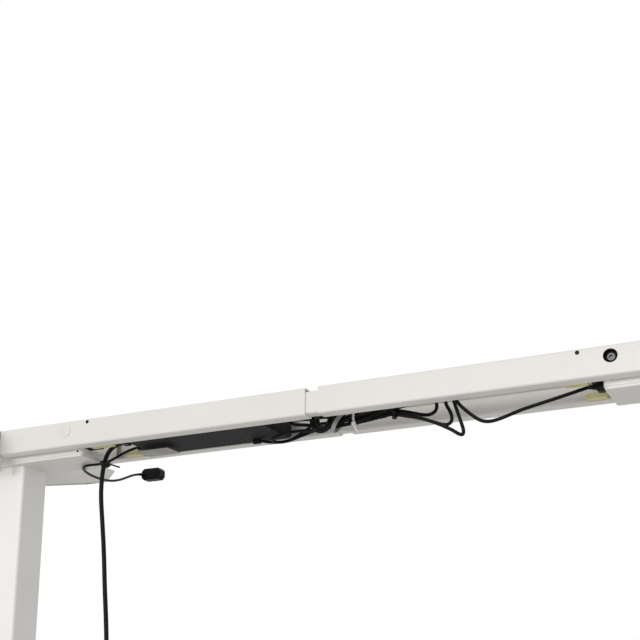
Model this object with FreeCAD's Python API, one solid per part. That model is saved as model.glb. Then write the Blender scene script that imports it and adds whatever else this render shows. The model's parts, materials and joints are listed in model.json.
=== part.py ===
"""Height-adjustable lifting frame with two electric columns, in millimetres.

Frame: X runs along the beam, +Y points to the user's side, +Z is up. The floor is Z = 0 and the
origin is midway between the two columns. The lift is at its lowest position.
"""
import FreeCAD
import Part
import math
import os

os.makedirs("parts", exist_ok=True)
V = FreeCAD.Vector

# --- Main sizes -------------------------------------------------------------------------------
rail_top = 688.0          # plane that the tabletop rests on
stroke = 450.0            # travel of both columns
column_x = 570.0          # distance from the middle of the frame to each column's axis
slip = 0.3                # gap between neighbouring pieces that must not touch
fit = 0.05                # radial clearance of a shaft or bolt in its hole

# --- Beam: outer rails, inner rails and their glides --------------------------------------------
beam_depth = 132.0        # over the outer faces of the front and rear rails
rail_height = 40.0
rail_wall = 2.0
lip_half = 44.0           # from the middle plane to the lips of the rails' flanges
rail_bend = 3.0           # outside bend radius
rail_end_inset = 24.0     # from the column's axis to the outer end of each outer rail
left_rail_end = -6.0      # inner end of the left rails
right_rail_end = 14.0     # inner end of the right rails
inner_drop = 5.0          # top of the inner rail below the top of the outer rail
inner_lip = 2.0           # lip of the inner rail behind the lip of the outer one
inner_end_gap = 19.0      # from the head's inner end to the inner rails' middle position end
inner_shifts = (-3.0, 7.0)  # middle of the front and of the rear inner rail
glide_length = 40.0
glide_nose = 16.0         # glide's inner face past the lips of the outer rails
bolt_inset = 14.0         # motor bolt and its access hole, from the head's inner end
bolt_drop = 14.5          # below the rail top
access_hole = 18.5
hang_gap = 27.0           # from the head's inner end to the hole that the rail hangs by when painted
hang_drop = 5.0
hang_hole = 4.5

# --- Head: the channel at the top of each column --------------------------------------------------
head_reach = 165.0        # from the column's axis to the head's inner end
head_overhang = 3.0       # beyond the outer tube at the head's outer end
head_seat = 10.0          # footing of the head's sides on the rails' lower flanges
head_wall = 3.0
head_lip = 12.0
screw_insets = (30.0, 115.0)  # rail screws, from the head's inner end
screw_hole = 6.4
screw_head = 11.2
screw_head_depth = 3.0

# --- Motor cover under the head -------------------------------------------------------------------
cover_gap = 1.0           # to the lips of the rails
cover_drop = 11.0         # below the rail's underside
cover_wall = 2.2
cover_nose_reach = 2.0    # past the head's inner end
cover_nose_radius = 6.0
cover_step = 1.2          # the lower edge stands back by this much
cover_step_height = 4.0
nose_screw_hole = 3.0

# --- Column tubes ---------------------------------------------------------------------------------
outer_tube = (90.0, 60.0)
outer_corner = 5.0
tube_wall = 2.0
outer_bottom = 84.0
inner_tube = (80.0, 50.0)
inner_corner = 4.0
inner_top_drop = 66.0     # top of the inner tube below the rail top, at the lowest position
lower_glide_height = 20.0
lower_lip = 4.0
upper_glide_height = 46.0
base_plate = 8.0
nut_plate = 12.0
nut_plate_drop = 10.0     # below the inner tube's top

# --- Drive ----------------------------------------------------------------------------------------
drive_drop = 26.0         # worm axis below the rail top
wheel_teeth = 20
tooth_module = 1.6
wheel_width = 14.0
worm_pitch_radius = 5.0
tooth_height = 3.6
worm_length = 30.0
worm_collar_radius = 5.6
worm_shaft_radius = 2.6
spindle_radius = 8.0
journal_radius = 6.0
journal_top_drop = 12.0
shoulder_drop = 54.0      # top of the spindle's full diameter below the rail top
bearing_radius = 16.0
bearing_height = 10.0
boss_radius = 21.0
boss_floor = 2.0
nut_radius = 15.0
nut_length = 24.0
nut_flange_radius = 20.0
nut_flange = 6.0
stop_radius = 13.0
stop_height = 6.0
stop_gap = 2.0
gearbox_margin = 0.5      # motor's face past the side of the outer tube
gearbox_reach = 36.0      # from the column's axis to the gearbox's outer end
motor_radius = 18.5
motor_length = 96.0
motor_bell = 12.0
motor_bell_radius = 16.0
motor_socket_reach = 3.0  # plug face of the motor's socket, past the head's inner end
motor_socket_size = (16.0, 12.0)
motor_plug_y = -19.0
motor_plug_drop = 30.0    # middle of the plug below the rail top
motor_lug = (12.0, 8.0, 9.0, 8.0)  # from the bolt: inward, outward, down and up
bolt_shank_radius = 3.0
bolt_length = 12.0
bolt_head = (5.0, 6.0)    # radius and height
bolt_socket_radius = 2.9

# --- Foot -----------------------------------------------------------------------------------------
foot_width = 84.0
foot_length = 600.0
foot_clear = 10.0         # underside of the foot above the floor
foot_top = 38.0
foot_end_height = 12.0
foot_flat = 120.0
foot_wall = 2.5
foot_corner = 10.0
foot_bend = 30.0          # between the foot's flat middle and its slopes
foot_end_bend = 4.0
foot_bolt = (25.0, 14.0)  # half spacing of the column bolts
foot_bolt_radius = 4.0
leveller_inset = 30.0
leveller_radius = 16.0
leveller_pad = 6.0
leveller_stem = 4.0

# --- Tabletop arms --------------------------------------------------------------------------------
arm_width = 44.0
arm_wall = 2.0
arm_reach = 252.0
arm_root_depth = 64.0
arm_tip_depth = 26.0
arm_tip_slope = 24.0
arm_hole = 6.5
arm_hole_ys = (120.0, 225.0)
arm_screw_inset = 7.0     # from the head's side

# --- Control box ----------------------------------------------------------------------------------
box_left = -329.0
box_right = -80.0
box_gap = 1.0             # to the lips of the outer rails
box_drop = 39.0           # underside below the rail top
box_height = 35.0
box_wall = 2.2
box_lid = 8.0
box_bevel = 9.0
box_corner = 3.0
box_rib = 11.0
box_rib_height = 3.0
box_rib_inset = 28.0

# Plugs on the box: Y of the middle, height of the middle above the box's underside, then the body's
# length, width and height.
mains_socket = (-24.0, 8.0, (10.0, 17.0, 13.0))
handset_socket = (19.0, 8.0, (9.0, 11.0, 10.0))
left_motor_socket = (2.0, 26.0, (9.0, 13.0, 10.0))
right_motor_socket = (-20.0, 15.0, (11.0, 15.0, 11.0))
relief_length = 5.0
mains_relief_radius = 5.2
mains_relief_turn = (-21.5, 7.5, -3.5)   # along the strain relief, from the plug's body to its end
plug_fillet = 1.5
motor_plug_size = (18.0, 16.0, 12.0)
motor_relief_length = 6.0
outlet_inset = 58.0       # lead outlet under the box, from its right end
outlet_y = 30.0
outlet_drop = 3.0         # middle of the outlet below the box's underside
outlet_length = 11.0
outlet_radius = 4.0

# --- Handset --------------------------------------------------------------------------------------
handset_size = (40.0, 16.0, 21.0)
handset_middle = (-477.0, 271.0)
handset_chamfer = 5.0
button_size = (12.0, 9.0)
button_gap = 4.0
button_stand = 1.5
button_travel = 1.2
button_root = 2.4
button_gap_round = 0.2    # round each button in its opening
neck_radius = 3.4         # strain relief of the handset's cord
neck_inset = 6.0          # from the handset's left end
neck_turn = (-5.0, -11.0, -1.4)

# --- Cords: section diameters and routes ------------------------------------------------------------
mains_d = 7.0
motor_d = 5.0
thin_d = 4.2
coil_middle = (-333.0, 4.0)
coil_mean = 38.0          # radius at the middle of the turns
coil_section = (24.0, 22.0)  # width and height of the nine turns together
hank_d = 18.0
hank_ends = ((20.0, -9.0, 651.0), (100.0, -7.0, 651.0))
tie_xs = (26.0, 50.0, 94.0)
tie_width = 4.0
tie_wall = 1.3
tie_slack = 0.1
mains_plug_size = (26.0, 34.0, 14.0)
mains_plug_y = 26.0       # start of the plug's sleeve, from the coil's middle
plug_sleeve = (24.0, 5.5)  # length and larger radius
plug_pin = (2.0, 19.0, 19.0)  # radius, length and spacing

mains_route = [(-359.5, -16.5, 653.5), (-369, -12.8, 651), (-378.5, -8, 645.5), (-387, -2.5, 636.5),
               (-393, 1.8, 624), (-396.5, 4, 606), (-396.5, 4, 580), (-391.5, 4, 541),
               (-385.5, 4, 492), (-381, 4, 437), (-374.5, 4, 377), (-370.5, 4, 313), (-367, 4, 246),
               (-365.5, 4, 180), (-364, 4, 121), (-364, 4.5, 76), (-364, 4, 46), (-364, 4, 22)]
handset_route = [(-343, 19, 657), (-354, 18, 654.5), (-364, 15.5, 650), (-374, 12.5, 644.5),
                 (-384, 9.5, 638.5), (-394, 6, 634), (-405, 2, 632.5), (-417, 0, 632.5),
                 (-428, 3, 632.8), (-438, 10.5, 633.2), (-446, 21, 633.6), (-453, 33.5, 634),
                 (-459.5, 48, 634.5), (-466, 67, 635), (-472, 92, 636), (-478, 122, 638.5),
                 (-483, 153, 643), (-487, 183, 651.5), (-491, 211, 662.5), (-494.5, 234, 671.5),
                 (-496, 253, 676.4)]
left_motor_route = [(-343, 2, 675), (-352, 0, 674.3), (-360.5, -4.5, 671.5), (-368, -10.5, 667),
                    (-374, -16, 662), (-378.5, -19, 658)]
right_motor_route = [(100, -13, 652), (115, -13, 651.5), (131, -12, 647.5), (147, -11, 641.5),
                     (162, -10, 635), (175, -10, 628), (186, -10, 621), (194, -10, 615.5),
                     (200, -10, 611.8), (205, -10.3, 612), (207.5, -10.6, 616.5), (207, -10.6, 623.5),
                     (204, -10.5, 632.5), (200, -10.5, 643), (197, -11, 653), (195.5, -12.5, 661.5),
                     (196, -15.5, 668), (198.5, -19.5, 671.5), (201.5, -24, 671.5), (204, -26, 667.5),
                     (206.5, -26.5, 660.5), (211.5, -26.5, 651), (219, -26.5, 639.5),
                     (229.5, -26, 629.5), (243, -25.5, 623), (262, -25, 622.5), (286, -24.5, 628.5),
                     (312, -23.5, 637.5), (337, -22, 646), (356, -20.5, 652), (369, -19.5, 656),
                     (378, -19, 658)]
spare_route = [(100, -3, 656), (113, -3, 655.5), (127, -2, 652.5), (140, -1, 648),
               (151, -1, 645.5), (160, -1, 647), (166, -1.2, 652), (169, -1.6, 659),
               (169.8, -2, 666), (172.2, -2.3, 671.3), (177, -2.8, 673.2), (181.5, -3.1, 670.5),
               (183.2, -3.4, 664.8), (184.5, -3.8, 657), (188, -4, 648), (191.3, -4, 640),
               (192.2, -4, 632.8), (188.8, -3.8, 627.3), (182.8, -3.6, 625.2), (175.5, -3.3, 627),
               (166, -3, 631), (153, -2.5, 636), (137, -2, 641), (119, -2, 645), (100, -2, 647)]
box_lead_route = [(-64, -20, 664), (-51, -20, 665), (-38, -20, 665), (-26, -20, 663),
                  (-17, -20, 658), (-11, -20, 650.5), (-7.5, -20, 642), (-3, -19.8, 635.5),
                  (4, -19.5, 632.5), (11, -19.2, 635), (15, -18.8, 641.5), (16, -17.5, 649),
                  (20, -14.5, 654.5)]
thin_route = [(-127, 30, 646), (-115, 31.5, 643.5), (-101, 32.5, 641), (-85, 31, 640.5),
              (-66, 25, 643), (-47, 13.5, 647), (-28, 0.5, 650.5), (-9, -6.5, 650.5),
              (7, -8, 648.5), (20, -8, 647)]

rail_flange = beam_depth / 2 - lip_half
inner_flange = rail_flange - rail_wall - slip - inner_lip
glide_reach = lip_half - glide_nose
head_half = lip_half + head_seat
cover_half = lip_half - cover_gap
box_half = lip_half - box_gap
arm_screw_y = head_half - arm_screw_inset
rail_end = column_x - rail_end_inset
head_inner_end = column_x - head_reach
head_outer_end = column_x + outer_tube[0] / 2 + head_overhang
inner_reach = head_inner_end - inner_end_gap
bolt_x = head_inner_end + bolt_inset
hang_x = head_inner_end - hang_gap
screw_xs = [head_inner_end + inset for inset in screw_insets]
cover_nose_x = head_inner_end - cover_nose_reach
motor_plug_end = head_inner_end - motor_socket_reach
motor_plug_z = rail_top - motor_plug_drop
inner_top = rail_top - inner_top_drop
rail_bottom = rail_top - rail_height
floor_inside = rail_bottom + rail_wall                  # upper face of the rails' lower flanges
drive_z = rail_top - drive_drop
wheel_pitch_radius = wheel_teeth * tooth_module / 2
worm_y = -(wheel_pitch_radius + worm_pitch_radius)      # worm axis, on the front side of the wheel
cover_bottom = rail_bottom - cover_drop
box_bottom = rail_top - box_drop
box_top = box_bottom + box_height
made = {}


# --- Helpers --------------------------------------------------------------------------------------
def block(x0, x1, y0, y1, z0, z1):
    return Part.makeBox(x1 - x0, y1 - y0, z1 - z0, V(x0, y0, z0))


def rod(radius, start, end):
    start, end = V(*start), V(*end)
    return Part.makeCylinder(radius, (end - start).Length, start, end - start)


def rounded_path(points, radii):
    """Edges of a polyline whose inner corners are tangent arcs of the given radii."""
    edges, last = [], points[0]
    for before, corner, after, radius in zip(points, points[1:], points[2:], radii):
        back, ahead = (before - corner).normalize(), (after - corner).normalize()
        half = (math.pi - back.getAngle(ahead)) / 2
        reach = radius * math.tan(half)
        if radius <= 0:
            edges.append(Part.LineSegment(last, corner).toShape())
            last = corner
            continue
        start, end = corner + back * reach, corner + ahead * reach
        bisector = (back + ahead).normalize()
        middle = corner + bisector * (radius / math.cos(half) - radius)
        if (start - last).Length > 1e-6:
            edges.append(Part.LineSegment(last, start).toShape())
        edges.append(Part.Arc(start, middle, end).toShape())
        last = end
    edges.append(Part.LineSegment(last, points[-1]).toShape())
    return edges


def outline(points, radii):
    """Closed face through the points, each corner rounded by its own radius (0 leaves it sharp)."""
    middle = (points[0] + points[-1]) * 0.5
    loop = [middle] + points + [middle]
    return Part.Face(Part.Wire(rounded_path(loop, radii)))


def plate(width, depth, corner, z0, z1, middle=(0.0, 0.0)):
    """Upright prism on a rounded rectangle."""
    x, y = middle
    corners = [V(x - width / 2, y - depth / 2, z0), V(x + width / 2, y - depth / 2, z0),
               V(x + width / 2, y + depth / 2, z0), V(x - width / 2, y + depth / 2, z0)]
    return outline(corners, [corner] * 4).extrude(V(0, 0, z1 - z0))


def tube(size, corner, wall, z0, z1, middle=(0.0, 0.0)):
    """Rectangular tube with rounded corners."""
    outside = plate(size[0], size[1], corner, z0, z1, middle)
    inside = plate(size[0] - 2 * wall, size[1] - 2 * wall, max(corner - wall, 0.5), z0, z1, middle)
    return outside.cut(inside)


def channel(y_web, flange, wall, bend, z0, z1, x0, x1):
    """Front C-section rail: its web is at y_web and its flanges point to +Y."""
    y_lip = y_web + flange
    points = [V(x0, y_web, z0), V(x0, y_lip, z0), V(x0, y_lip, z0 + wall), V(x0, y_web + wall, z0 + wall),
              V(x0, y_web + wall, z1 - wall), V(x0, y_lip, z1 - wall), V(x0, y_lip, z1), V(x0, y_web, z1)]
    inner = bend - wall
    radii = [bend, 0, 0, inner, inner, 0, 0, bend]
    return outline(points, radii).extrude(V(x1 - x0, 0, 0))


def to_rear(shape):
    return shape.mirror(V(0, 0, 0), V(0, 1, 0))


def to_right(shape):
    return shape.mirror(V(0, 0, 0), V(1, 0, 0))


def screw_shape(x, y, gap):
    """Countersunk screw from the top face down, smaller than its hole by gap."""
    radius, head = screw_hole / 2 - gap, screw_head / 2 - gap
    cone = Part.makeCone(radius, head, screw_head_depth, V(x, y, rail_top - screw_head_depth))
    return cone.fuse(rod(radius, (x, y, rail_top - 8.0), (x, y, rail_top - screw_head_depth)))


def save(name, *solids):
    shape = solids[0] if len(solids) == 1 else Part.makeCompound(list(solids))
    made[name] = shape
    shape.exportStep(f"parts/{name}.step")


def save_pair(name, *solids):
    """Write a piece for the left column and its mirror image for the right one."""
    save(f"left_{name}", *solids)
    save(f"right_{name}", *[to_right(solid) for solid in solids])


def cord(name, route, diameter):
    """Tube along straight runs joined by arcs as large as the runs allow."""
    points = [V(*point) for point in route]
    radii = []
    for before, corner, after in zip(points, points[1:], points[2:]):
        turn = math.pi - (before - corner).getAngle(after - corner)
        short = min((corner - before).Length, (after - corner).Length)
        radii.append(0.45 * short / math.tan(turn / 2))
    path = Part.Wire(rounded_path(points, radii))
    ring = Part.makeCircle(diameter / 2, points[0], points[1] - points[0])
    solid = path.makePipeShell([Part.Wire(ring)], True, False)
    share = solid.Volume / (math.pi * diameter ** 2 / 4 * path.Length)
    print(f"{name}: length {path.Length:.0f}, radii {min(radii):.0f} to {max(radii):.0f}, "
          f"tightest {min(radii) / diameter:.1f} diameters, volume share {share:.4f}")
    return solid


# --- Beam -----------------------------------------------------------------------------------------
def outer_rail(x0, x1, side):
    """Front outer rail from x0 to x1; side is -1 for the left frame and 1 for the right one."""
    rail = channel(-beam_depth / 2, rail_flange, rail_wall, rail_bend, rail_bottom, rail_top, x0, x1)
    for x in screw_xs:
        rail = rail.cut(screw_shape(side * x, -screw_y, 0))
    return rail


def front_holes(rail, side):
    """Access hole of the motor bolt and the small hanging hole, through the front web."""
    web = (-beam_depth / 2 - 1, -beam_depth / 2 + rail_wall + 1)
    for x, drop, size in ((bolt_x, bolt_drop, access_hole), (hang_x, hang_drop, hang_hole)):
        z = rail_top - drop
        rail = rail.cut(rod(size / 2, (side * x, web[0], z), (side * x, web[1], z)))
    return rail


screw_y = head_half - head_lip / 2
left_rail = outer_rail(-rail_end, left_rail_end, -1)
right_rail = outer_rail(right_rail_end, rail_end, 1)
save("left_front_rail", front_holes(left_rail, -1))
save("left_rear_rail", to_rear(left_rail))
save("right_front_rail", front_holes(right_rail, 1))
save("right_rear_rail", to_rear(right_rail))

inner_web = -beam_depth / 2 + rail_wall + slip
inner_bottom = floor_inside + slip / 2
inner_top_z = rail_top - inner_drop


def moved(shape, x):
    copy = shape.copy()
    copy.translate(V(x, 0, 0))
    return copy


inner_rail = channel(inner_web, inner_flange, rail_wall, rail_bend, inner_bottom, inner_top_z,
                     -inner_reach, inner_reach)
save("front_inner_rail", moved(inner_rail, inner_shifts[0]))
save("rear_inner_rail", moved(to_rear(inner_rail), inner_shifts[1]))


def rail_glide():
    """Nylon block in the end of an inner rail; its heel fills the slot beside the outer flange."""
    x0, x1 = inner_reach - glide_length, inner_reach
    body = block(x0, x1, inner_web + rail_wall, -glide_reach,
                 inner_bottom + rail_wall, inner_top_z - rail_wall)
    seat = [edge for edge in body.Edges if abs(edge.BoundBox.YMax - inner_web - rail_wall) < 1e-6
            and edge.BoundBox.XLength > 1]
    body = body.makeFillet(rail_bend - rail_wall + fit, seat)
    heel = block(x0, x1, -beam_depth / 2 + rail_flange + slip, -glide_reach,
                 rail_bottom + rail_wall / 2, inner_bottom + rail_wall)
    relief = block(x0 + 8, x1 - 8, -glide_reach - 6, -glide_reach + 1, rail_bottom, inner_top_z - 8)
    return body.fuse(heel).cut(relief).removeSplitter()


glide = rail_glide()
glides = (glide, to_right(glide))
save("rail_glides", *[moved(item, inner_shifts[0]) for item in glides],
     *[moved(to_rear(item), inner_shifts[1]) for item in glides])


# --- Head channel, cover and arm (left side) --------------------------------------------------------
def head_channel():
    """Lipped channel that stands on the rails' lower flanges and carries the column."""
    x0 = -head_outer_end
    z0, z1, y = floor_inside, rail_top - rail_wall, head_half
    wall = head_wall
    lip = y - head_lip
    points = [V(x0, -y, z0), V(x0, y, z0), V(x0, y, z1), V(x0, lip, z1), V(x0, lip, z1 - wall),
              V(x0, y - wall, z1 - wall), V(x0, y - wall, z0 + wall), V(x0, -y + wall, z0 + wall),
              V(x0, -y + wall, z1 - wall), V(x0, -lip, z1 - wall), V(x0, -lip, z1), V(x0, -y, z1)]
    bends = [4, 4, 4, 0, 0, 1, 1, 1, 1, 0, 0, 4]
    head = outline(points, bends).extrude(V(head_outer_end - head_inner_end, 0, 0))
    boss_hole = rod(boss_radius + slip, (-column_x, 0, z0 - 1), (-column_x, 0, z0 + wall + 1))
    window = block(motor_face - slip, -head_inner_end + 1, worm_y - motor_radius - 1,
                   worm_y + motor_radius + 1, z0 - 1, z0 + wall + 1)
    bolt_z = rail_top - bolt_drop
    bolt_hole = rod(screw_hole / 2, (-bolt_x, -y - 1, bolt_z), (-bolt_x, -y + wall + 1, bolt_z))
    head = head.cut(boss_hole).cut(window).cut(bolt_hole)
    for x, screw_row in [(x, screw_y) for x in screw_xs] + [(column_x, arm_screw_y)]:
        for sign in (-1, 1):
            head = head.cut(screw_shape(-x, sign * screw_row, 0))
    return head


gearbox_inner = -column_x + outer_tube[0] / 2 + gearbox_margin
gearbox_outer = -column_x - gearbox_reach
motor_face = gearbox_inner
save_pair("head", head_channel())


def motor_cover():
    """Shallow tray under the head, closed round the outer tube, with a stepped lower edge."""
    x0, x1 = -head_outer_end, -cover_nose_x
    middle, length = ((x0 + x1) / 2, 0.0), x1 - x0
    upper = plate(length, 2 * cover_half, cover_nose_radius, cover_bottom + cover_step_height,
                  floor_inside, middle)
    step = cover_step
    lower = plate(length - 2 * step, 2 * (cover_half - step), cover_nose_radius - step, cover_bottom,
                  cover_bottom + cover_step_height, middle)
    edge = [item for item in lower.Edges
            if abs(item.BoundBox.ZMax - cover_bottom) < 1e-6]
    lower = lower.makeFillet(1.5, edge)
    wall = cover_wall + step
    hollow = plate(length - 2 * wall, 2 * (cover_half - wall), cover_nose_radius - 2,
                   cover_bottom + cover_wall, floor_inside, middle)
    opening = plate(outer_tube[0] + 2 * slip, outer_tube[1] + 2 * slip, outer_corner + slip,
                    cover_bottom - 1, floor_inside, (-column_x, 0.0))
    screw_z = floor_inside - 5.0
    hole = rod(nose_screw_hole / 2, (-cover_nose_x - 7, -cover_half - 1, screw_z),
               (-cover_nose_x - 7, -cover_half + 2.5, screw_z))
    return upper.fuse(lower).cut(hollow).cut(opening).cut(hole).removeSplitter()


save_pair("motor_cover", motor_cover())


def arm():
    """Tapered arm, open below, whose top runs across the head."""
    x0, x1 = -column_x - arm_width / 2, -column_x + arm_width / 2
    root = head_half + slip
    slope = arm_tip_slope / arm_tip_depth

    def half(x_from, x_to, root_y, top, tip_wall, bottom):
        reach = arm_reach - tip_wall
        return Part.Face(Part.makePolygon([
            V(x_from, root_y, rail_top - top), V(x_from, reach - top * slope, rail_top - top),
            V(x_from, reach - (arm_tip_depth + bottom) * slope, rail_top - arm_tip_depth - bottom),
            V(x_from, root_y, rail_top - arm_root_depth - bottom),
            V(x_from, root_y, rail_top - top)])).extrude(V(x_to - x_from, 0, 0))

    shell = half(x0, x1, root, 0, 0, 0)
    tip_wall = arm_wall * math.hypot(1, slope)
    rear = shell.cut(half(x0 + arm_wall, x1 - arm_wall, root - 1, arm_wall, tip_wall, arm_wall))
    bridge = block(x0, x1, -root, root, rail_top - arm_wall, rail_top)
    whole = rear.fuse(to_rear(rear)).fuse(bridge).removeSplitter()
    for sign in (-1, 1):
        for y in arm_hole_ys:
            whole = whole.cut(rod(arm_hole / 2, (-column_x, sign * y, rail_top - 5),
                                  (-column_x, sign * y, rail_top + 1)))
        whole = whole.cut(screw_shape(-column_x, sign * arm_screw_y, 0))
    return whole


save_pair("arm", arm())


def motor_bolt():
    """Socket head bolt that holds the motor's lug to the head, seen in the rail's access hole."""
    z = rail_top - bolt_drop
    y = -head_half
    radius, height = bolt_head
    shank = rod(bolt_shank_radius - fit, (-bolt_x, y, z), (-bolt_x, y + bolt_length, z))
    head = rod(radius, (-bolt_x, y - height, z), (-bolt_x, y, z))
    socket = Part.Face(Part.makePolygon([
        V(-bolt_x + bolt_socket_radius * math.cos(math.radians(a)), y - height,
          z + bolt_socket_radius * math.sin(math.radians(a)))
        for a in range(0, 361, 60)])).extrude(V(0, height / 2, 0))
    return head.fuse(shank).cut(socket).removeSplitter()


screws = [screw_shape(-x, sign * screw_y, fit) for x in screw_xs for sign in (-1, 1)]
screws += [screw_shape(-column_x, sign * arm_screw_y, fit) for sign in (-1, 1)]
save_pair("head_screws", motor_bolt(), *screws)

plug_z = rail_top - bolt_drop
plug_face = -beam_depth / 2
cap = rod(access_hole / 2 + 0.8, (-bolt_x, plug_face - 1.0, plug_z), (-bolt_x, plug_face, plug_z))
cap = cap.fuse(rod(access_hole / 2 - fit, (-bolt_x, plug_face, plug_z), (-bolt_x, plug_face + 3.5, plug_z)))
save("hole_plug", cap.removeSplitter())


# --- Column tubes -----------------------------------------------------------------------------------
column_middle = (-column_x, 0.0)
save_pair("outer_tube", tube(outer_tube, outer_corner, tube_wall, outer_bottom, floor_inside,
                             column_middle))

bore = (outer_tube[0] - 2 * tube_wall, outer_tube[1] - 2 * tube_wall)
bore_corner = outer_corner - tube_wall


def lower_glide():
    """Nylon collar in the mouth of the outer tube; the inner tube runs through it."""
    sleeve = plate(bore[0], bore[1], bore_corner, outer_bottom, outer_bottom + lower_glide_height,
                   column_middle)
    lip = plate(outer_tube[0], outer_tube[1], outer_corner, outer_bottom - lower_lip, outer_bottom,
                column_middle)
    hole = plate(inner_tube[0] + 2 * slip, inner_tube[1] + 2 * slip, inner_corner + slip,
                 outer_bottom - lower_lip, outer_bottom + lower_glide_height, column_middle)
    return sleeve.fuse(lip).cut(hole).removeSplitter()


save_pair("lower_glide", lower_glide())


def inner_column():
    """Inner tube with its base plate and the nut's seat welded in."""
    tube_solid = tube(inner_tube, inner_corner, tube_wall, foot_top, inner_top, column_middle)
    size = (inner_tube[0] - 2 * tube_wall, inner_tube[1] - 2 * tube_wall)
    corner = inner_corner - tube_wall
    base = plate(size[0], size[1], corner, foot_top, foot_top + base_plate, column_middle)
    for x in (-1, 1):
        for y in (-1, 1):
            at = (-column_x + x * foot_bolt[0], y * foot_bolt[1])
            base = base.cut(rod(foot_bolt_radius + fit, (*at, foot_top), (*at, foot_top + base_plate)))
    seat = plate(size[0], size[1], corner, nut_seat - nut_plate, nut_seat, column_middle)
    seat = seat.cut(rod(nut_radius + fit, (-column_x, 0, nut_seat - nut_plate), (-column_x, 0, nut_seat)))
    return tube_solid.fuse(base).fuse(seat).removeSplitter()


nut_seat = inner_top - nut_plate_drop
save_pair("inner_tube", inner_column())

upper_size = (bore[0] - 2 * slip, bore[1] - 2 * slip)
upper = plate(upper_size[0], upper_size[1], bore_corner, inner_top - upper_glide_height, inner_top,
              column_middle)
upper = upper.cut(plate(inner_tube[0], inner_tube[1], inner_corner, inner_top - upper_glide_height,
                        inner_top, column_middle))
save_pair("upper_glide", upper)


# --- Drive --------------------------------------------------------------------------------------------
def axle(radius, z0, z1):
    return rod(radius, (-column_x, 0, z0), (-column_x, 0, z1))


shoulder_z = rail_top - shoulder_drop
journal_top = rail_top - journal_top_drop
nut_bottom = nut_seat - nut_length
spindle_bottom = nut_bottom - stroke - stop_gap - stop_height
wheel_bottom = drive_z - wheel_width / 2
bearing_z = shoulder_z + 4.0

spindle = axle(spindle_radius, spindle_bottom, shoulder_z)
spindle = spindle.fuse(axle(journal_radius, shoulder_z, journal_top))
spindle = spindle.fuse(axle(stop_radius, spindle_bottom, spindle_bottom + stop_height))
save_pair("spindle", spindle.removeSplitter())

nut = axle(nut_radius, nut_bottom, nut_seat).fuse(axle(nut_flange_radius, nut_seat, nut_seat + nut_flange))
save_pair("spindle_nut", nut.cut(axle(spindle_radius + fit, nut_bottom, nut_seat + nut_flange))
          .removeSplitter())


def worm_wheel():
    """Worm wheel with straight-flanked teeth and a hub that stands on the bearing."""
    outer = wheel_pitch_radius + tooth_module
    root = outer - tooth_height
    pitch = 2 * math.pi / wheel_teeth
    points = []
    for tooth in range(wheel_teeth):
        middle = tooth * pitch
        for radius, share in ((root, -0.30), (outer, -0.13), (outer, 0.13), (root, 0.30)):
            angle = middle + share * pitch
            points.append(V(-column_x + radius * math.cos(angle), radius * math.sin(angle), wheel_bottom))
    points.append(points[0])
    wheel = Part.Face(Part.makePolygon(points)).extrude(V(0, 0, wheel_width))
    hub = axle(journal_radius + 2.5, bearing_z + bearing_height, wheel_bottom)
    return wheel.fuse(hub).cut(axle(journal_radius, shoulder_z, journal_top)).removeSplitter()


save_pair("worm_wheel", worm_wheel())


def along_x(radius, x0, x1):
    return rod(radius, (x0, worm_y, drive_z), (x1, worm_y, drive_z))


worm_core = -worm_y - (wheel_pitch_radius + tooth_module) - slip
worm_ends = (-column_x - worm_length / 2, -column_x + worm_length / 2)
worm = along_x(worm_core, *worm_ends)
worm = worm.fuse(along_x(worm_collar_radius, worm_ends[0] - 5, worm_ends[0]))
worm = worm.fuse(along_x(worm_collar_radius, worm_ends[1], worm_ends[1] + 5))
worm = worm.fuse(along_x(worm_shaft_radius, worm_ends[0] - 15, motor_face + 6))
save_pair("worm_shaft", worm.removeSplitter())

bearing = axle(bearing_radius, bearing_z, bearing_z + bearing_height)
save_pair("spindle_bearing", bearing.cut(axle(journal_radius + fit, bearing_z, bearing_z + bearing_height)))


def gearbox():
    """Worm gearbox, split at the worm's axis into a case with the bearing's boss and a lid."""
    y0, y1 = worm_y - 11.0, wheel_pitch_radius + 6.0
    z0, z1 = floor_inside + head_wall, rail_top - 7.0
    middle = ((gearbox_outer + gearbox_inner) / 2, (y0 + y1) / 2)
    body = plate(gearbox_inner - gearbox_outer, y1 - y0, 8.0, z0, z1, middle)
    body = body.fuse(axle(boss_radius, bearing_z - boss_floor, z0))
    outer = wheel_pitch_radius + tooth_module + 1.0
    body = body.cut(axle(outer, wheel_bottom - slip, wheel_bottom + wheel_width + slip))
    body = body.cut(axle(bearing_radius + fit, bearing_z, wheel_bottom))
    body = body.cut(axle(journal_radius + fit, wheel_bottom, journal_top + slip))
    body = body.cut(axle(spindle_radius + 1.0, bearing_z - boss_floor, bearing_z))
    body = body.cut(along_x(worm_collar_radius + 0.5, worm_ends[0] - 5 - slip, worm_ends[1] + 5 + slip))
    body = body.cut(along_x(worm_shaft_radius + fit, worm_ends[0] - 15 - slip, gearbox_inner))
    below = block(gearbox_outer, gearbox_inner, y0, y1, 0, drive_z)
    above = block(gearbox_outer, gearbox_inner, y0, y1, drive_z, rail_top)
    return body.common(below), body.common(above)


case, lid = gearbox()
save_pair("gearbox_case", case)
save_pair("gearbox_lid", lid)


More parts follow.
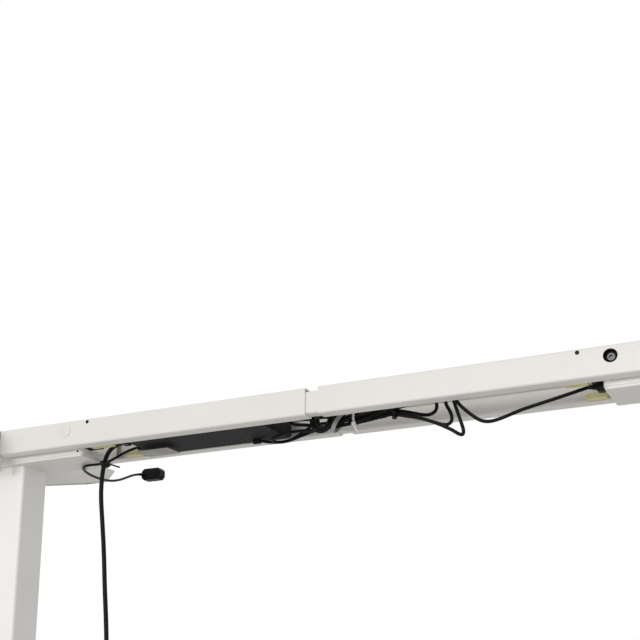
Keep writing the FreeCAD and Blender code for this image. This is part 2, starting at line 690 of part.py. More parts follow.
def motor():
    """Motor with its end bell, the lug for the side bolt and the socket for its cable."""
    end = motor_face + motor_length
    can = along_x(motor_radius, motor_face, end)
    can = can.cut(along_x(worm_shaft_radius + slip, motor_face, motor_face + 6 + slip))
    bell = along_x(motor_bell_radius, end, end + motor_bell)
    z = rail_top - bolt_drop
    inward, outward, down, up = motor_lug
    lug = block(-bolt_x - inward, -bolt_x + outward, -head_half + head_wall, worm_y, z - down, z + up)
    lug = lug.cut(rod(bolt_shank_radius, (-bolt_x, -head_half, z),
                      (-bolt_x, -head_half + bolt_length + 0.5, z)))
    width, height = motor_socket_size
    socket = block(end, -motor_plug_end, motor_plug_y - width / 2, motor_plug_y + width / 2,
                   motor_plug_z - height / 2, motor_plug_z + height / 2)
    return can.fuse(bell).fuse(lug).fuse(socket).removeSplitter()


save_pair("motor", motor())


# --- Feet -----------------------------------------------------------------------------------------------
def foot():
    """Pressed steel foot, open below, with bosses for the levelling screws."""
    half, flat = foot_length / 2, foot_flat / 2
    end_z = foot_clear + foot_end_height

    def side(inset, floor_z):
        x = -column_x - foot_width / 2 + inset
        points = [V(x, -half + inset, floor_z), V(x, half - inset, floor_z),
                  V(x, half - inset, end_z - inset), V(x, flat, foot_top - inset),
                  V(x, -flat, foot_top - inset), V(x, -half + inset, end_z - inset)]
        return outline(points, [0, 0, foot_end_bend, foot_bend, foot_bend, foot_end_bend]).extrude(V(foot_width - 2 * inset, 0, 0))

    ends = plate(foot_width, foot_length, foot_corner, 0, foot_top, column_middle)
    body = side(0, foot_clear).common(ends)
    inner = side(foot_wall, foot_clear - 5)
    body = body.cut(inner.common(plate(foot_width - 2 * foot_wall, foot_length - 2 * foot_wall,
                                       foot_corner - foot_wall, 0, foot_top, column_middle)))
    for sign in (-1, 1):
        y = sign * (half - leveller_inset)
        top = end_z + (foot_top - end_z) * leveller_inset / (half - flat)
        body = body.fuse(rod(9.0, (-column_x, y, foot_clear + 1), (-column_x, y, top - foot_wall + 0.8)))
        body = body.cut(rod(leveller_stem + fit, (-column_x, y, 0), (-column_x, y, top - foot_wall - 1.0)))
    for x in (-1, 1):
        for y in (-1, 1):
            at = (-column_x + x * foot_bolt[0], y * foot_bolt[1])
            body = body.cut(rod(foot_bolt_radius + fit, (*at, foot_top - 5), (*at, foot_top + 1)))
    return body.removeSplitter()


save_pair("foot", foot())




def levellers():
    pieces = []
    for sign in (-1, 1):
        y = sign * (foot_length / 2 - leveller_inset)
        pad = Part.makeCone(leveller_radius, leveller_radius - 4, leveller_pad, V(-column_x, y, 0))
        stem = rod(leveller_stem, (-column_x, y, leveller_pad), (-column_x, y, foot_clear + 10))
        pieces.append(pad.fuse(stem).removeSplitter())
    return pieces


save_pair("levellers", *levellers())


# --- Control box ------------------------------------------------------------------------------------------
def control_box():
    """Moulded case with bevelled ends and side ribs that rest on the inner rails, and its lid."""
    split = box_top - box_lid
    x0, x1, y = box_left, box_right, box_half
    profile = [V(x0 + box_bevel, -y, box_bottom), V(x1 - 4, -y, box_bottom), V(x1, -y, box_bottom + 4),
               V(x1, -y, split), V(x0, -y, split), V(x0, -y, box_bottom + box_bevel)]
    base = outline(profile, [2, 2, 2, 0, 0, 2]).extrude(V(0, 2 * y, 0))
    shape = plate(x1 - x0, 2 * y, box_corner, box_bottom, box_top, ((x0 + x1) / 2, 0.0))
    base = base.common(shape)
    hollow = plate(x1 - x0 - 2 * box_bevel, 2 * (y - box_wall), 1.5, box_bottom + box_wall, split,
                   ((x0 + x1) / 2, 0.0))
    base = base.cut(hollow)
    rib_z = inner_bottom + rail_wall
    for sign in (-1, 1):
        rib = block(x0 + box_rib_inset, x1 - box_rib_inset, y - 1, y + box_rib, rib_z,
                    rib_z + box_rib_height)
        base = base.fuse(rib if sign > 0 else to_rear(rib))
    start, end, z = x1 - outlet_inset, x1 - outlet_inset + outlet_length, box_bottom - outlet_drop
    outlet = rod(outlet_radius, (start, outlet_y, z), (end, outlet_y, z))
    outlet = outlet.fuse(block(start, end - 1, outlet_y - outlet_radius, outlet_y + outlet_radius,
                               z, box_bottom + box_wall / 4))
    base = base.fuse(outlet).removeSplitter()
    lid_solid = shape.common(block(x0, x1, -y, y, split, box_top))
    edges = [edge for edge in lid_solid.Edges if abs(edge.BoundBox.ZMin - box_top) < 1e-6]
    return base, lid_solid.makeFillet(2.0, edges)


box_base, box_lid_solid = control_box()
save("control_box_base", box_base)
save("control_box_lid", box_lid_solid)


def plug(x_face, y, z, size, radius, relief, diameter):
    """Cable plug on an upright face: a rounded body and its strain relief, tapered along relief."""
    length, width, height = size
    side = math.copysign(1, relief[0])
    far = x_face + side * length
    body = block(min(x_face, far), max(x_face, far), y - width / 2, y + width / 2, z - height / 2,
                 z + height / 2)
    ends = [edge for edge in body.Edges if abs(edge.tangentAt(edge.FirstParameter).x) > 0.99]
    body = body.makeFillet(plug_fillet, ends)
    run = V(*relief)
    cone = Part.makeCone(radius, diameter / 2, run.Length, V(far, y, z) - V(side, 0, 0), run)
    return body.fuse(cone).removeSplitter()


def box_plug(x_face, socket, relief, diameter, radius=None):
    y, height, size = socket
    return plug(x_face, y, box_bottom + height, size, radius or min(size[1:]) / 2 - 0.5, relief, diameter)


plugs = [box_plug(box_left, mains_socket, mains_relief_turn, mains_d, mains_relief_radius),
         box_plug(box_left, handset_socket, (-relief_length - 1, 0, 0), thin_d),
         box_plug(box_left, left_motor_socket, (-relief_length - 1, 0, 0), motor_d),
         box_plug(box_right, right_motor_socket, (relief_length + 1, 0, 0), motor_d)]
motor_plug = plug(-motor_plug_end, motor_plug_y, motor_plug_z, motor_plug_size,
                  motor_plug_size[2] / 2 - 0.5, (motor_relief_length + 1, 0, 0), motor_d)
save("left_cable_plugs", *plugs, motor_plug)
save("right_motor_plug", to_right(motor_plug))


# --- Handset ----------------------------------------------------------------------------------------------
def handset():
    width, depth, height = handset_size
    cx, cy = handset_middle
    x0, x1 = cx - width / 2, cx + width / 2
    y0, z1 = cy - depth / 2, rail_top
    z0 = z1 - height
    c = handset_chamfer
    profile = [V(x0 + c, y0, z0), V(x1 - c, y0, z0), V(x1, y0, z0 + c), V(x1, y0, z1 - c), V(x1 - c, y0, z1),
               V(x0 + c, y0, z1), V(x0, y0, z1 - c), V(x0, y0, z0 + c)]
    body = outline(profile, [1.5] * 8).extrude(V(0, depth, 0))
    pocket_depth = button_travel + button_root + 0.4
    buttons = []
    for sign in (-1, 1):
        bx = cx + sign * (button_size[0] + button_gap) / 2
        bz = (z0 + z1) / 2
        face = cy + depth / 2
        half_w, half_h = button_size[0] / 2, button_size[1] / 2
        gap = button_gap_round
        body = body.cut(block(bx - half_w - gap, bx + half_w + gap, face - pocket_depth, face + 1,
                              bz - half_h - gap, bz + half_h + gap))
        buttons.append(block(bx - half_w, bx + half_w, face - button_root, face + button_stand,
                             bz - half_h, bz + half_h))
    neck = Part.makeCone(neck_radius, thin_d / 2, V(*neck_turn).Length,
                         V(x0 + neck_inset, y0, rail_top - height / 2), V(*neck_turn))
    return body.fuse(neck).removeSplitter(), buttons


handset_case, (up_button, down_button) = handset()
save("handset_case", handset_case)
save("up_button", up_button)
save("down_button", down_button)


# --- Cords ------------------------------------------------------------------------------------------------
left_plugs = Part.makeCompound([*plugs, motor_plug])
hank = rod(hank_d / 2, *hank_ends)
hank = hank.fuse(cord("box lead of the hank", box_lead_route, motor_d))
hank = hank.fuse(cord("loose loop of the hank", spare_route, motor_d))
hank = hank.cut(left_plugs).removeSplitter()
save("cable_hank", hank)


def save_cord(name, route, diameter, *neighbours):
    """Write a cord whose ends are trimmed to the faces that they meet."""
    solid = cord(name, route, diameter)
    for neighbour in neighbours:
        solid = solid.cut(neighbour)
    save(name, solid)


save_cord("mains_cord_drop", mains_route, mains_d, left_plugs)
save_cord("handset_cord", handset_route, thin_d, left_plugs, handset_case)
save_cord("left_motor_cable", left_motor_route, motor_d, left_plugs)
save_cord("right_motor_cable", right_motor_route, motor_d, hank, to_right(motor_plug))
save_cord("thin_cable", thin_route, thin_d, hank, box_base)


def coil():
    """Outer shape of the mains cord's coil, flat on the floor."""
    thick, high = coil_section
    x, y = coil_middle
    ring = rod(coil_mean + thick / 2, (x, y, 0), (x, y, high))
    return ring.cut(rod(coil_mean - thick / 2, (x, y, 0), (x, y, high)))


mains_coil = coil()
save("mains_cord_coil", mains_coil)


def mains_plug():
    """Flat two-pin plug lying beside the coil, its sleeve against the coil's side."""
    width, length, height = mains_plug_size
    sleeve_length, sleeve_radius = plug_sleeve
    pin_radius, pin_length, pin_spacing = plug_pin
    x, z = coil_middle[0] + coil_mean + mains_d, height / 2
    sleeve_y = coil_middle[1] + mains_plug_y
    body_y = sleeve_y + sleeve_length - 1.0
    sleeve = Part.makeCone(mains_d / 2, sleeve_radius, sleeve_length, V(x, sleeve_y, z), V(0, 1, 0))
    shape = sleeve.fuse(plate(width, length, 6.0, 0, height, (x, body_y + length / 2)))
    for sign in (-1, 1):
        pin_x, pin_y = x + sign * pin_spacing / 2, body_y + length
        shape = shape.fuse(rod(pin_radius, (pin_x, pin_y - 4, z), (pin_x, pin_y + pin_length, z)))
    return shape.cut(mains_coil).removeSplitter()


save("mains_plug", mains_plug())


def tie(middle, axis):
    """Cable tie: a flat ring round the hank."""
    inner = hank_d / 2 + tie_slack
    start = middle - V(axis).normalize() * (tie_width / 2)
    ring = Part.makeCylinder(inner + tie_wall, tie_width, start, axis)
    return ring.cut(Part.makeCylinder(inner, tie_width, start, axis))


hank_start = V(*hank_ends[0])
hank_run = V(*hank_ends[1]) - hank_start
tie_shares = [(x - hank_start.x) / hank_run.x for x in tie_xs]
save("cable_ties", *[tie(hank_start + hank_run * share, hank_run) for share in tie_shares])
print(len(made), "nodes")
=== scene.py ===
"""Looks of a height-adjustable lifting frame: finishes, cords, ties, small fittings, light and camera.

All sizes are in metres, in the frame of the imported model: X along the beam, -Y the front, +Z up.
"""
import json
import math

import bmesh
import bpy
from mathutils import Matrix, Vector


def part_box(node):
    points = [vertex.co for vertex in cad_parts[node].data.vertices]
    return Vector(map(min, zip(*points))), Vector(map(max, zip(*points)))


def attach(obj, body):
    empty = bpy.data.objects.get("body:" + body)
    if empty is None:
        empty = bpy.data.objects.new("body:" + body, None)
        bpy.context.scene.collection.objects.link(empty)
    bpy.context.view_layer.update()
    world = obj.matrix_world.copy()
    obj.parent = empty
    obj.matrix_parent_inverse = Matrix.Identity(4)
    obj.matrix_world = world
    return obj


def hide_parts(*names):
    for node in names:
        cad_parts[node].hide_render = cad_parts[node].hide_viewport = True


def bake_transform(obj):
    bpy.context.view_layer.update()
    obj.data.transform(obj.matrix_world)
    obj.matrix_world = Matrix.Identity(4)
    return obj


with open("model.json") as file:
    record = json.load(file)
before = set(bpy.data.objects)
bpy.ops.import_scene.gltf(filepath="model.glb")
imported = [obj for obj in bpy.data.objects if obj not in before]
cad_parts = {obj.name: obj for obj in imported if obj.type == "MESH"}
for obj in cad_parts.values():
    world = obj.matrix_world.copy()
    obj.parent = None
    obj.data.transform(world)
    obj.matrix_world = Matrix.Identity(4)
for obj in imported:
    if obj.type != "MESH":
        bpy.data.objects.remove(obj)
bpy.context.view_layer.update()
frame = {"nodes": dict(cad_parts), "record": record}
NODES = frame["nodes"]
SCENE = bpy.context.scene
SCENE.view_settings.view_transform = "Standard"

# --- Places taken from the frame ------------------------------------------------------------------
RAIL_FACE_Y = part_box("left_front_rail")[0].y
BOX_UNDERSIDE_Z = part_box("control_box_base")[0].z
GLIDE_REACH_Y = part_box("rail_glides")[1].y
COIL_LOW, COIL_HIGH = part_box("mains_cord_coil")
MAINS_PLUG_LOW, MAINS_PLUG_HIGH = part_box("mains_plug")

# --- Cords ----------------------------------------------------------------------------------------
MAINS_D = 0.007
MOTOR_D = 0.005
THIN_D = 0.0042
SPLINE_ORDER = 3
SPLINE_STEPS = 8
SECTION_STEPS = 4

# Control points of the routes. Where a route meets the hank, the hank's own points go on from it.
MAINS_ROUTE = [(-0.3595, -0.0165, 0.6535), (-0.369, -0.0128, 0.651), (-0.3785, -0.008, 0.6455),
               (-0.387, -0.0025, 0.6365), (-0.393, 0.0018, 0.624), (-0.3965, 0.004, 0.606),
               (-0.3965, 0.004, 0.580), (-0.3915, 0.004, 0.541), (-0.3855, 0.004, 0.492),
               (-0.381, 0.004, 0.437), (-0.3745, 0.004, 0.377), (-0.3705, 0.004, 0.313),
               (-0.3685, 0.004, 0.246), (-0.3695, 0.004, 0.180), (-0.3725, 0.004, 0.121),
               (-0.3755, 0.004, 0.078), (-0.3758, 0.004, 0.058)]
HANDSET_ROUTE = [(-0.343, 0.019, 0.657), (-0.354, 0.018, 0.6545), (-0.364, 0.0155, 0.650),
                 (-0.374, 0.0125, 0.6445), (-0.384, 0.0095, 0.6385), (-0.394, 0.006, 0.634),
                 (-0.405, 0.002, 0.6325), (-0.417, 0.0, 0.6325), (-0.428, 0.003, 0.6328),
                 (-0.438, 0.0105, 0.6332), (-0.446, 0.021, 0.6336), (-0.453, 0.0335, 0.634),
                 (-0.4595, 0.048, 0.6345), (-0.466, 0.067, 0.635), (-0.472, 0.092, 0.636),
                 (-0.478, 0.122, 0.6385), (-0.483, 0.153, 0.643), (-0.487, 0.183, 0.6515),
                 (-0.491, 0.211, 0.6625), (-0.4945, 0.234, 0.6715), (-0.496, 0.253, 0.6764)]
LEFT_MOTOR_ROUTE = [(-0.343, 0.002, 0.675), (-0.352, 0.0, 0.6743), (-0.3605, -0.0045, 0.6715),
                    (-0.368, -0.0105, 0.667), (-0.374, -0.016, 0.662), (-0.3785, -0.019, 0.658)]
BOX_LEAD_ROUTE = [(-0.064, -0.020, 0.664), (-0.052, -0.020, 0.6655), (-0.0405, -0.020, 0.6665),
                  (-0.030, -0.020, 0.6655), (-0.0225, -0.020, 0.6612), (-0.0183, -0.020, 0.6545),
                  (-0.0172, -0.020, 0.649), (-0.0165, -0.020, 0.6430), (-0.0079, -0.020, 0.6345),
                  (0.0049, -0.020, 0.6345), (0.0132, -0.0195, 0.6430), (0.0165, -0.0178, 0.6510)]
SPARE_ROUTE = [(0.113, -0.003, 0.6552), (0.127, -0.002, 0.6515),
               (0.140, -0.001, 0.6475), (0.151, -0.001, 0.6447), (0.160, -0.001, 0.646),
               (0.1658, -0.0012, 0.651), (0.1665, -0.0014, 0.658), (0.1650, -0.0018, 0.6665),
               (0.1665, -0.0022, 0.6755), (0.1740, -0.0027, 0.6810), (0.1820, -0.0031, 0.6775),
               (0.1832, -0.0034, 0.6695), (0.1800, -0.0036, 0.6620), (0.1806, -0.0037, 0.6560),
               (0.1838, -0.0038, 0.6500), (0.1868, -0.004, 0.6438), (0.1888, -0.004, 0.6365),
               (0.1876, -0.004, 0.6300), (0.1825, -0.0038, 0.6268), (0.1755, -0.0036, 0.6275),
               (0.167, -0.0033, 0.6308), (0.155, -0.003, 0.636), (0.138, -0.0025, 0.6425),
               (0.119, -0.002, 0.6475)]
RIGHT_MOTOR_ROUTE = [(0.115, -0.0115, 0.649), (0.131, -0.011, 0.645),
                     (0.147, -0.0105, 0.6385), (0.162, -0.010, 0.632), (0.1745, -0.010, 0.6258),
                     (0.1850, -0.010, 0.620), (0.1925, -0.010, 0.6152), (0.1985, -0.010, 0.6105),
                     (0.2052, -0.0103, 0.6077), (0.2068, -0.0106, 0.6140), (0.2046, -0.0106, 0.6220),
                     (0.2022, -0.0105, 0.6302), (0.1996, -0.0105, 0.6392), (0.1968, -0.011, 0.6485),
                     (0.1945, -0.0115, 0.6575), (0.1932, -0.0118, 0.6660), (0.1945, -0.0150, 0.6745),
                     (0.1970, -0.0225, 0.6795), (0.1985, -0.0305, 0.6765), (0.1990, -0.0335, 0.6685),
                     (0.2000, -0.0315, 0.6605), (0.2030, -0.0288, 0.6525), (0.2083, -0.0273, 0.6450),
                     (0.215, -0.0265, 0.638), (0.2225, -0.0265, 0.6308), (0.230, -0.0262, 0.6245),
                     (0.2375, -0.026, 0.6198), (0.2465, -0.0258, 0.6178), (0.258, -0.0255, 0.619),
                     (0.2725, -0.025, 0.6232), (0.290, -0.0245, 0.6288), (0.310, -0.0237, 0.6332),
                     (0.3326, -0.0225, 0.6382), (0.3508, -0.0212, 0.6425), (0.366, -0.020, 0.6462),
                     (0.380, -0.0195, 0.6495)]
THIN_ROUTE = [(-0.127, 0.030, 0.646), (-0.115, 0.0315, 0.6435), (-0.101, 0.0325, 0.641),
              (-0.085, 0.031, 0.6405), (-0.066, 0.025, 0.643), (-0.047, 0.0135, 0.647),
              (-0.028, 0.0005, 0.6505), (-0.009, -0.0065, 0.6505), (0.007, -0.0085, 0.6495),
              (0.020, -0.009, 0.6505), (0.034, -0.0087, 0.651)]

# Loops that stick out of the tied hank: three at its left end and two at its right end.
INNER_LOOP = [(0.0180, -0.0150, 0.6580), (0.0120, -0.0185, 0.6555), (0.0095, -0.0195, 0.6505),
              (0.0088, -0.0195, 0.6455), (0.0030, -0.0195, 0.6395), (-0.0058, -0.0195, 0.6395),
              (-0.0118, -0.0195, 0.6455), (-0.0126, -0.0190, 0.6525), (-0.0150, -0.0172, 0.6595),
              (-0.0215, -0.0152, 0.6650), (-0.0310, -0.0142, 0.6680), (-0.0425, -0.0138, 0.6690),
              (-0.0520, -0.0135, 0.6660), (-0.0560, -0.0130, 0.6595), (-0.0525, -0.0125, 0.6535),
              (-0.0425, -0.0120, 0.6510), (-0.0300, -0.0115, 0.6495), (-0.0180, -0.0095, 0.6475),
              (-0.0060, -0.0075, 0.6448), (0.0060, -0.0072, 0.6438)]
REAR_LOOP = [(0.0155, -0.0060, 0.6560), (0.0090, -0.0120, 0.6530), (0.0065, -0.0145, 0.6475),
             (0.0020, -0.0147, 0.6425), (-0.0048, -0.0147, 0.6425), (-0.0090, -0.0142, 0.6475),
             (-0.0105, -0.0125, 0.6540), (-0.0145, -0.0100, 0.6605), (-0.0215, -0.0085, 0.6655),
             (-0.0310, -0.0080, 0.6685), (-0.0405, -0.0070, 0.6690), (-0.0475, -0.0035, 0.6675),
             (-0.0480, 0.0035, 0.6650), (-0.0410, 0.0070, 0.6635), (-0.0300, 0.0065, 0.6630),
             (-0.0170, 0.0050, 0.6630), (-0.0040, 0.0025, 0.6620), (0.0090, -0.0035, 0.6565)]
LOWER_LOOP = [(0.0140, -0.0145, 0.6435), (0.0040, -0.0115, 0.6395), (-0.0080, -0.0095, 0.6395),
              (-0.0230, -0.0095, 0.6410), (-0.0400, -0.0095, 0.6425), (-0.0580, -0.0080, 0.6430),
              (-0.0740, -0.0040, 0.6420), (-0.0880, 0.0010, 0.6405), (-0.0970, 0.0085, 0.6390),
              (-0.0955, 0.0190, 0.6380), (-0.0850, 0.0240, 0.6385), (-0.0700, 0.0215, 0.6395),
              (-0.0560, 0.0155, 0.6410), (-0.0400, 0.0095, 0.6425), (-0.0240, 0.0035, 0.6440),
              (-0.0080, 0.0000, 0.6450), (0.0080, -0.0015, 0.6455)]
FRONT_RIGHT_LOOP = [(0.109, -0.0125, 0.657), (0.120, -0.0125, 0.6585), (0.127, -0.0110, 0.6605),
                    (0.1335, -0.0045, 0.663), (0.1325, 0.0050, 0.666), (0.1245, 0.0090, 0.668),
                    (0.1160, 0.0065, 0.668), (0.1070, 0.0010, 0.662)]
REAR_RIGHT_LOOP = [(0.108, -0.0075, 0.661), (0.117, -0.0095, 0.664), (0.1255, -0.0070, 0.6665),
                   (0.1290, -0.0005, 0.6685), (0.1265, 0.0065, 0.6710), (0.1190, 0.0090, 0.672),
                   (0.1110, 0.0065, 0.671), (0.1050, 0.0015, 0.667)]

# The tied part of the hank: its axis, how far from it the outer strands lie, and how they turn.
HANK_START = Vector((0.022, -0.009, 0.6485))
HANK_END = Vector((0.100, -0.007, 0.6545))
HANK_RING_START = 0.0066
HANK_RING_END = 0.0050
HANK_TWIST = math.radians(-96)
HANK_STATIONS = (0.026, 0.048, 0.072, 0.096)

# The coil on the floor: the radii of its turns, the heights of its layers, and where it starts and
# ends. A turn has TURN_STEPS points. It moves to the next radius over SHIFT_STEPS of them, and down
# to the next layer over its last DROP_STEPS. The landing leads into it and the tail to the plug.
COIL_RADII = (0.0308, 0.0382, 0.0456)
COIL_HEIGHTS = (0.018, 0.0108, 0.0036)
COIL_START_DEG = 235.0
COIL_LAST_DEG = 360.0
TURN_STEPS = 16
SHIFT_STEPS = 14
DROP_STEPS = 4
LANDING = [(-0.3758, 0.004, 0.040), (-0.3702, -0.0017, 0.026), (-0.3604, -0.0117, 0.018)]
TAIL_STEPS_Y = (0.001, 0.014, 0.030)
TAIL_HEIGHTS = (0.0036, 0.0045, 0.0066)

# Two places along each cord that runs between two bodies; the script only uses them to pick out the
# cords that it bakes in place instead of putting on a body.
MAINS_STRETCH = ((-0.39, 0.004, 0.60), (-0.39, 0.004, 0.05))
MOTOR_STRETCH = ((0.210, 0, 0.64), (0.372, 0, 0.64))


def link(piece):
    """Add a new object to the scene."""
    SCENE.collection.objects.link(piece)
    return piece


def spline(name, points, diameter):
    """A NURBS curve on control points, with a round section; diameter 0 gives the bare line."""
    curve = bpy.data.curves.new(name, "CURVE")
    curve.dimensions = "3D"
    line = curve.splines.new("NURBS")
    line.points.add(len(points) - 1)
    for point, place in zip(line.points, points):
        point.co = (*place, 1.0)
    line.order_u = SPLINE_ORDER
    line.use_endpoint_u = True
    line.resolution_u = SPLINE_STEPS
    curve.bevel_depth = diameter / 2
    curve.bevel_resolution = SECTION_STEPS
    curve.use_fill_caps = diameter > 0
    return link(bpy.data.objects.new(name, curve))


def mesh_of(line):
    """Mesh of a curve, which is then removed."""
    finished = line.evaluated_get(bpy.context.evaluated_depsgraph_get())
    mesh = bpy.data.meshes.new_from_object(finished)
    bpy.data.objects.remove(line)
    return mesh


def tube(name, points, diameter):
    """Round cord along a NURBS route, as a mesh, and the places that it follows."""
    places = [vertex.co.copy() for vertex in mesh_of(spline("route", points, 0.0)).vertices]
    mesh = mesh_of(spline("section", points, diameter))
    mesh.name = name
    for face in mesh.polygons:
        face.use_smooth = True
    return link(bpy.data.objects.new(name, mesh)), places


def hank_share(x):
    """How far along the hank x lies: 0 at its start and 1 at its end."""
    return (x - HANK_START.x) / (HANK_END.x - HANK_START.x)


def hank_ring(x):
    """Distance of the outer strands from the hank's axis where it passes x."""
    return HANK_RING_START + (HANK_RING_END - HANK_RING_START) * hank_share(x)


def strand(angle_deg, x):
    """Place of one strand at x; it turns about the hank's axis, and with no angle it is the axis."""
    middle = HANK_START.lerp(HANK_END, hank_share(x))
    if angle_deg is None:
        return middle
    angle = math.radians(angle_deg) + HANK_TWIST * hank_share(x)
    ring = hank_ring(x)
    return middle + Vector((0, ring * math.cos(angle), ring * math.sin(angle)))


def through_hank(angle_deg, rightward):
    """One pass of a strand through the hank."""
    stations = HANK_STATIONS if rightward else reversed(HANK_STATIONS)
    return [strand(angle_deg, x) for x in stations]


def coil_points(middle):
    """Turns of the coil from the top layer down: each turn winds towards the next one's radius."""
    turns = []
    for layer, height in enumerate(COIL_HEIGHTS):
        row = COIL_RADII if layer % 2 == 0 else COIL_RADII[::-1]
        turns += [(radius, height) for radius in row]
    last_count = round((COIL_LAST_DEG - COIL_START_DEG) / 360 * TURN_STEPS)
    points = []
    for turn, (radius, height) in enumerate(turns):
        last = turn == len(turns) - 1
        next_radius, next_height = turns[turn] if last else turns[turn + 1]
        for step in range(last_count if last else TURN_STEPS):
            side = min(step / SHIFT_STEPS, 1.0)
            down = max((step - TURN_STEPS + DROP_STEPS) / DROP_STEPS, 0.0)
            r = radius + (next_radius - radius) * side
            z = height + (next_height - height) * down
            angle = math.radians(COIL_START_DEG + 360 * step / TURN_STEPS)
            points.append((middle.x + r * math.cos(angle), middle.y + r * math.sin(angle), z))
    return points


def mains_points():
    """The mains cord's whole route: the drop, nine turns on the floor and the tail to the plug."""
    middle = (COIL_LOW + COIL_HIGH) / 2
    plug_x = (MAINS_PLUG_LOW.x + MAINS_PLUG_HIGH.x) / 2
    tail_xs = (middle.x + COIL_RADII[-1], plug_x, plug_x)
    tail = [(x, middle.y + step, z) for x, step, z in zip(tail_xs, TAIL_STEPS_Y, TAIL_HEIGHTS)]
    return MAINS_ROUTE + LANDING + coil_points(middle) + tail


def motor_points():
    """The right motor's cable: from the box, seven times through the hank, then to the motor's plug.

    Each pass names its strand by its angle round the hank's axis.
    """
    return (BOX_LEAD_ROUTE + through_hank(150, rightward=True)
            + SPARE_ROUTE + through_hank(90, rightward=False)
            + INNER_LOOP + through_hank(270, rightward=True)
            + FRONT_RIGHT_LOOP + through_hank(30, rightward=False)
            + REAR_LOOP + through_hank(None, rightward=True)
            + REAR_RIGHT_LOOP + through_hank(210, rightward=False)
            + LOWER_LOOP + through_hank(330, rightward=True)
            + RIGHT_MOTOR_ROUTE)


def cords():
    """Every cord on its own route."""
    made = []

    def lay(name, points, diameter, nodes, bodies, ends=None, **facts):
        """One cord: riding on its body, or baked in place where it has ends."""
        piece, path = tube(name, points, diameter)
        if ends:
            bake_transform(piece)
        else:
            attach(piece, bodies)
        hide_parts(*nodes)
        made.append(piece)

    lay("mains_cord", mains_points(), MAINS_D, ("mains_cord_drop", "mains_cord_coil"),
        ("beam_left", "left_base"), MAINS_STRETCH,
        far_end="plug", stiffness="medium", lay="coiled", with_pieces=[NODES["mains_plug"]])
    lay("long_motor_cable", motor_points(), MOTOR_D, ("cable_hank", "right_motor_cable"),
        ("beam_left", "beam_right"), MOTOR_STRETCH,
        far_end="object", stiffness="limp", lay="hanging")
    short_ones = (("handset_lead", HANDSET_ROUTE, THIN_D, "handset_cord"),
                  ("short_motor_cable", LEFT_MOTOR_ROUTE, MOTOR_D, "left_motor_cable"),
                  ("thin_lead", THIN_ROUTE, THIN_D, "thin_cable"))
    for name, route, diameter, node in short_ones:
        lay(name, route, diameter, (node,), "beam_left",
            far_end="object", stiffness="limp", lay="hanging")
    return made


# --- Camera ---------------------------------------------------------------------------------------
CAMERA_PLACE = (0.6614, -1.4474, 0.2167)
CAMERA_YAW = math.radians(24.99)
CAMERA_PITCH = math.radians(15.97)
CAMERA_ROLL = math.radians(-0.26)


def camera():
    """Low in front of the right half, looking up and along the beam to the left column."""
    data = bpy.data.cameras.new("camera")
    data.sensor_width = 36.0
    data.lens = 64.1
    data.shift_y = 0.14
    data.clip_start = 0.05
    view = link(bpy.data.objects.new("camera", data))
    turn = Matrix.Rotation(CAMERA_YAW, 4, "Z") @ Matrix.Rotation(math.pi / 2 + CAMERA_PITCH, 4, "X")
    tilt = Matrix.Rotation(CAMERA_ROLL, 4, "Z")
    view.matrix_world = Matrix.Translation(CAMERA_PLACE) @ turn @ tilt
    SCENE.camera = view


camera()
CORDS = cords()


# --- Materials ------------------------------------------------------------------------------------
# The middle part of a noise's range, which the shaders spread over the values that they need,
# and how strong its finer octaves are.
NOISE_LOW = 0.3
NOISE_HIGH = 0.7
NOISE_ROUGHNESS = 0.55


def linear(red, green, blue):
    """Scene colour of an sRGB colour given from 0 to 255."""
    def channel(value):
        value /= 255
        return value / 12.92 if value <= 0.04045 else ((value + 0.055) / 1.055) ** 2.4
    return (channel(red), channel(green), channel(blue), 1.0)


